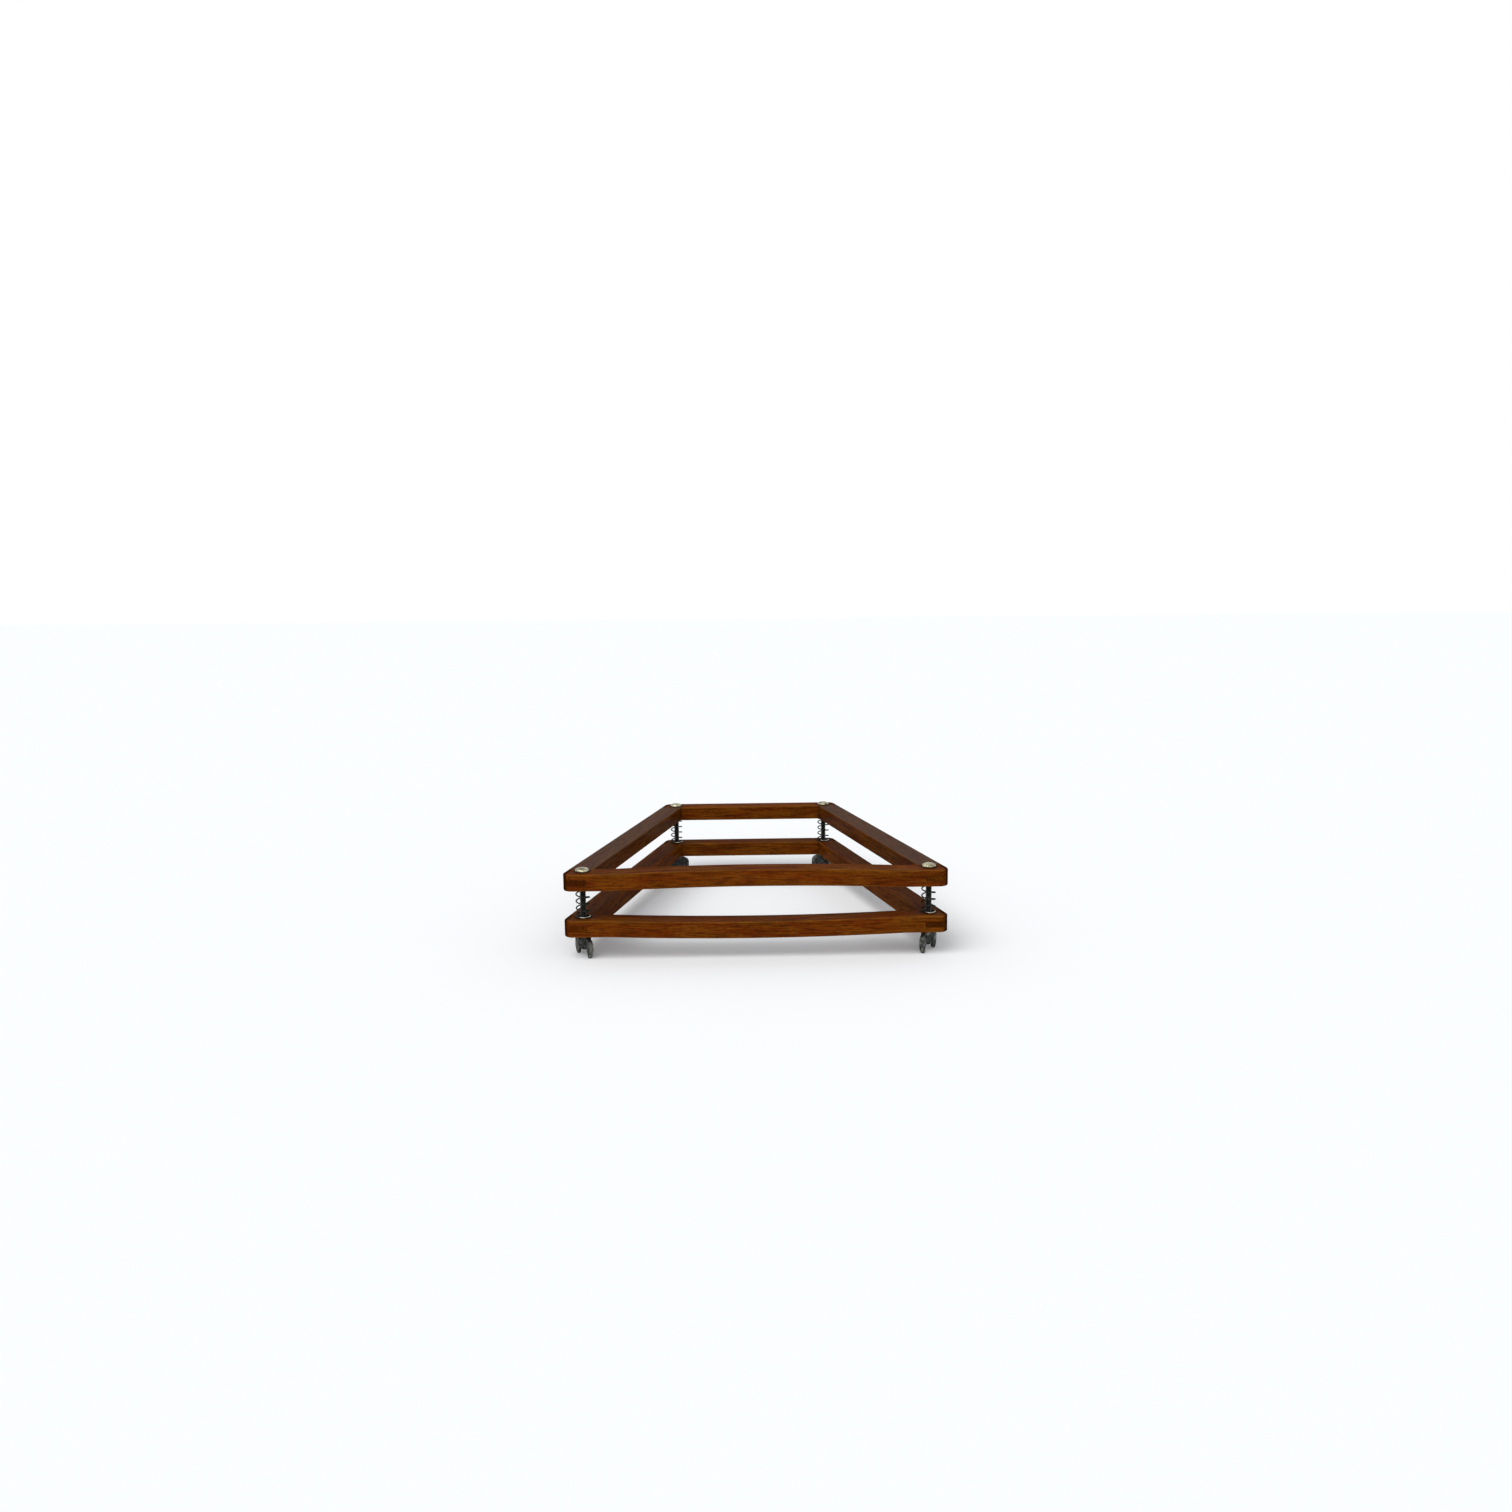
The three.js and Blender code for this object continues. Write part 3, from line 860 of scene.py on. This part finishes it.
washer_material = dull_plate()
for corner, place in bolt_places.items():
    low, high = (point.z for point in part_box(f"washer_{corner}"))
    inner, outer = washer_hole, washer_radius
    ring = [
        (inner, low),
        (outer - washer_edge, low),
        (outer, low + washer_edge),
        (outer, high - washer_edge * 2),
        (outer - washer_edge, high - washer_edge * 0.4),
        (outer - washer_edge * 3, high),
        (inner, high),
    ]
    mesh = lathe(f"flat_washer_{corner}", ring, turned_sides, closed=True)
    mesh.transform(Matrix.Translation(place))
    mesh.materials.append(washer_material)
    made = object_of(mesh.name, mesh)
    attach(made, "lower_frame")
    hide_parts(f"washer_{corner}")


# Wing nuts: small rough castings, hub up against the washer and two wings that hang below it; the press
# stands on their tips. Cast in one piece, so the wings flow into the hub, and never machined outside.
nut_height = 0.016
hub_bottom = 0.0065
hub_bore = 0.00246
hub_foot_radius = 0.0045
hub_radius = 0.0054
hub_shoulder = 0.0134
wing_half = 0.0014
wing_reach = 0.012
wing_root = 0.0036
wing_top = 0.0154
shoulder_foot = 0.0085
flank_pull = (wing_reach, 0.0032)
arch_pull = (0.0066, 0.0062)
tip_x = 0.0087
tip_radius = 0.0013
curve_steps = 12
arch_steps = 10
casting_voxel = 0.00028
broad_scale, broad_height = 420, 0.00012
fine_scale, fine_height = 1300, 0.00005
nut_degrees = {"front_left": -55, "front_right": -126, "rear_left": 24, "rear_right": 147}
cast_black = (0.006, 0.007, 0.006, 1)
cast_grey = (0.072, 0.075, 0.068, 1)
cast_rubbed_and_highlit = (0.21, 0.21, 0.185, 1)
cast_rust = (0.040, 0.026, 0.016, 1)


def cast_metal():
    material, g = new_material("cast_metal")
    place = g.attribute("cast")
    x, y = g.parts(place)[:2]
    mottle = g.noise(place, scale=520, detail=5, roughness=0.7)
    grit = g.noise(place, scale=2600, detail=3, roughness=0.7)
    # The wings are rubbed brighter towards their outer ends, which also serves as painted highlight.
    rubbed_and_highlit = (g.noise(place, scale=300, detail=3) + abs(x) * 14).rise(0.6, 0.78)
    rust = g.noise(place, scale=640, detail=4, roughness=0.7).rise(0.58, 0.74)
    seam = (abs(y) * to_millimetres).fall(0.06, 0.3)
    colour = g.mix(mottle.rise(0.38, 0.62), cast_black, cast_grey)
    colour = g.mix(rubbed_and_highlit * 0.75, colour, cast_rubbed_and_highlit)
    colour = g.mix(rust * 0.4, colour, cast_rust)
    finish_surface(
        g,
        Base_Color=colour,
        Metallic=0.85 - rust * 0.4,
        Roughness=0.46 + mottle * 0.2 - rubbed_and_highlit * 0.12,
        Normal=g.bump(mottle * 0.8 + grit * 0.7 + seam * 0.5, 0.00018),
    )
    return material


def curve_points(start, control, end, count):
    """Points of a quadratic curve, without its start."""
    for k in range(1, count + 1):
        t = k / count
        first, second, third = (1 - t) ** 2, 2 * t * (1 - t), t * t
        yield tuple(first * a + second * b + third * c for a, b, c in zip(start, control, end))


def wing_outline():
    """One wing from the side, out along X and up: a broad shoulder curving in to a narrow tip below."""
    points = [(0.0, wing_top), (wing_root, wing_top)]
    points += curve_points(points[-1], (wing_reach, wing_top), (wing_reach, shoulder_foot), curve_steps)
    points += curve_points(points[-1], flank_pull, (tip_x + tip_radius, tip_radius), curve_steps)
    for k in range(1, curve_steps + 1):
        angle = -math.pi * k / curve_steps
        points.append((tip_x + tip_radius * math.cos(angle), tip_radius + tip_radius * math.sin(angle)))
    points += curve_points(points[-1], arch_pull, (wing_root, hub_bottom), arch_steps)
    points.append((0.0, hub_bottom))
    return points


def wing_nut_mesh(seed):
    """Hub and wings as one skin, smoothed as a casting is and made slightly uneven."""
    hub = [(hub_bore, hub_bottom), (hub_foot_radius, hub_bottom), (hub_radius, hub_shoulder)]
    hub += [(hub_radius, nut_height), (hub_bore, nut_height)]
    whole = object_of("casting", lathe("casting", hub, turned_sides, closed=True))
    outline = wing_outline()
    for side in (1, -1):
        rings = [[(side * x, y, z) for x, z in outline] for y in (wing_half, -wing_half)]
        wing = loft("wing", rings if side == 1 else rings[::-1])
        carved(whole, "UNION", [wing])
    skin = whole.modifiers.new("skin", "REMESH")
    skin.mode = "VOXEL"
    skin.voxel_size = casting_voxel
    skin.use_smooth_shade = True
    smooth = whole.modifiers.new("smooth", "SMOOTH")
    smooth.factor = 0.5
    smooth.iterations = 9
    mesh = evaluated_mesh(whole)
    bpy.data.objects.remove(whole)
    offset = Vector((0, 0, seed))
    normals = [vertex.normal.copy() for vertex in mesh.vertices]
    for vertex, normal in zip(mesh.vertices, normals):
        broad = noise.noise(vertex.co * broad_scale + offset) * broad_height
        fine = noise.noise(vertex.co * fine_scale + offset) * fine_height
        vertex.co += normal * (broad + fine)
    low = min(vertex.co.z for vertex in mesh.vertices)
    high = max(vertex.co.z for vertex in mesh.vertices)
    for vertex in mesh.vertices:
        vertex.co.z = (vertex.co.z - low) / (high - low) * nut_height
    add_vectors(mesh, "cast", [vertex.co + offset for vertex in mesh.vertices])
    return mesh


cast_material = cast_metal()
for seed, (corner, place) in enumerate(bolt_places.items()):
    mesh = wing_nut_mesh(seed)
    mesh.name = f"cast_wing_nut_{corner}"
    mesh.materials.append(cast_material)
    mesh.transform(Matrix.Translation(place) @ Matrix.Rotation(math.radians(nut_degrees[corner]), 4, "Z"))
    made = object_of(mesh.name, mesh)
    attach(made, f"{corner}_nut")
    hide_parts(f"wing_nut_{corner}")


# Floor and light: a wide pale floor that shows white but keeps the shadow, an even white surrounding, and
# two soft suns, the key high up at the front left and a weaker one from the front.
floor_lit = (0.80, 0.80, 0.80, 1)
floor_seen = (0.97, 0.97, 0.97, 1)
sky_lit = (0.93, 0.965, 1, 1)
sky_seen = (1, 1, 1, 1)
floor_reach = 8


def in_sight(g):
    """1 for what the camera sees straight, in a reflection or through something clear, else 0."""
    kinds = ("Camera", "Glossy", "Transmission")
    rays = [g.node("ShaderNodeLightPath", output=f"Is {kind} Ray") for kind in kinds]
    return rays[0].most(rays[1]).most(rays[2])


def white_floor():
    material, g = new_material("white_floor")
    colour = g.mix(in_sight(g), floor_lit, floor_seen)
    end_shader(g, "Material", g.node("ShaderNodeBsdfDiffuse", None, {"Color": colour}))
    return material


floor_mesh = bpy.data.meshes.new("floor")
floor_corners = [(x * floor_reach, y * floor_reach, 0) for x, y in ((-1, -1), (1, -1), (1, 1), (-1, 1))]
floor_mesh.from_pydata(floor_corners, [], [(0, 1, 2, 3)])
floor_mesh.materials.append(white_floor())
floor = object_of("floor", floor_mesh)

world = bpy.data.worlds.new("surrounding")
bpy.context.scene.world = world
world.use_nodes = True
world.node_tree.nodes.clear()
sky = Graph(world.node_tree)
around = sky.node("ShaderNodeBackground", None, {"Color": sky_lit, "Strength": 0.6})
white = sky.node("ShaderNodeBackground", None, {"Color": sky_seen, "Strength": 1.0})
end_shader(sky, "World", sky.node("ShaderNodeMixShader", None, {0: in_sight(sky), 1: around, 2: white}))


def soft_sun(name, place, spread, strength):
    """A lamp so far away that it lights the whole floor alike; its spread softens the shadows."""
    data = bpy.data.lights.new(name, "SUN")
    data.angle = math.radians(spread)
    data.energy = strength
    lamp = object_of(name, data)
    lamp.rotation_euler = (-Vector(place)).to_track_quat("-Z", "Y").to_euler()


soft_sun("key", place=(-0.45, -0.4, 1.0), spread=40, strength=1.15)
soft_sun("front", place=(-0.05, -1.0, 0.7), spread=50, strength=0.7)

bpy.context.scene.view_settings.view_transform = "Standard"
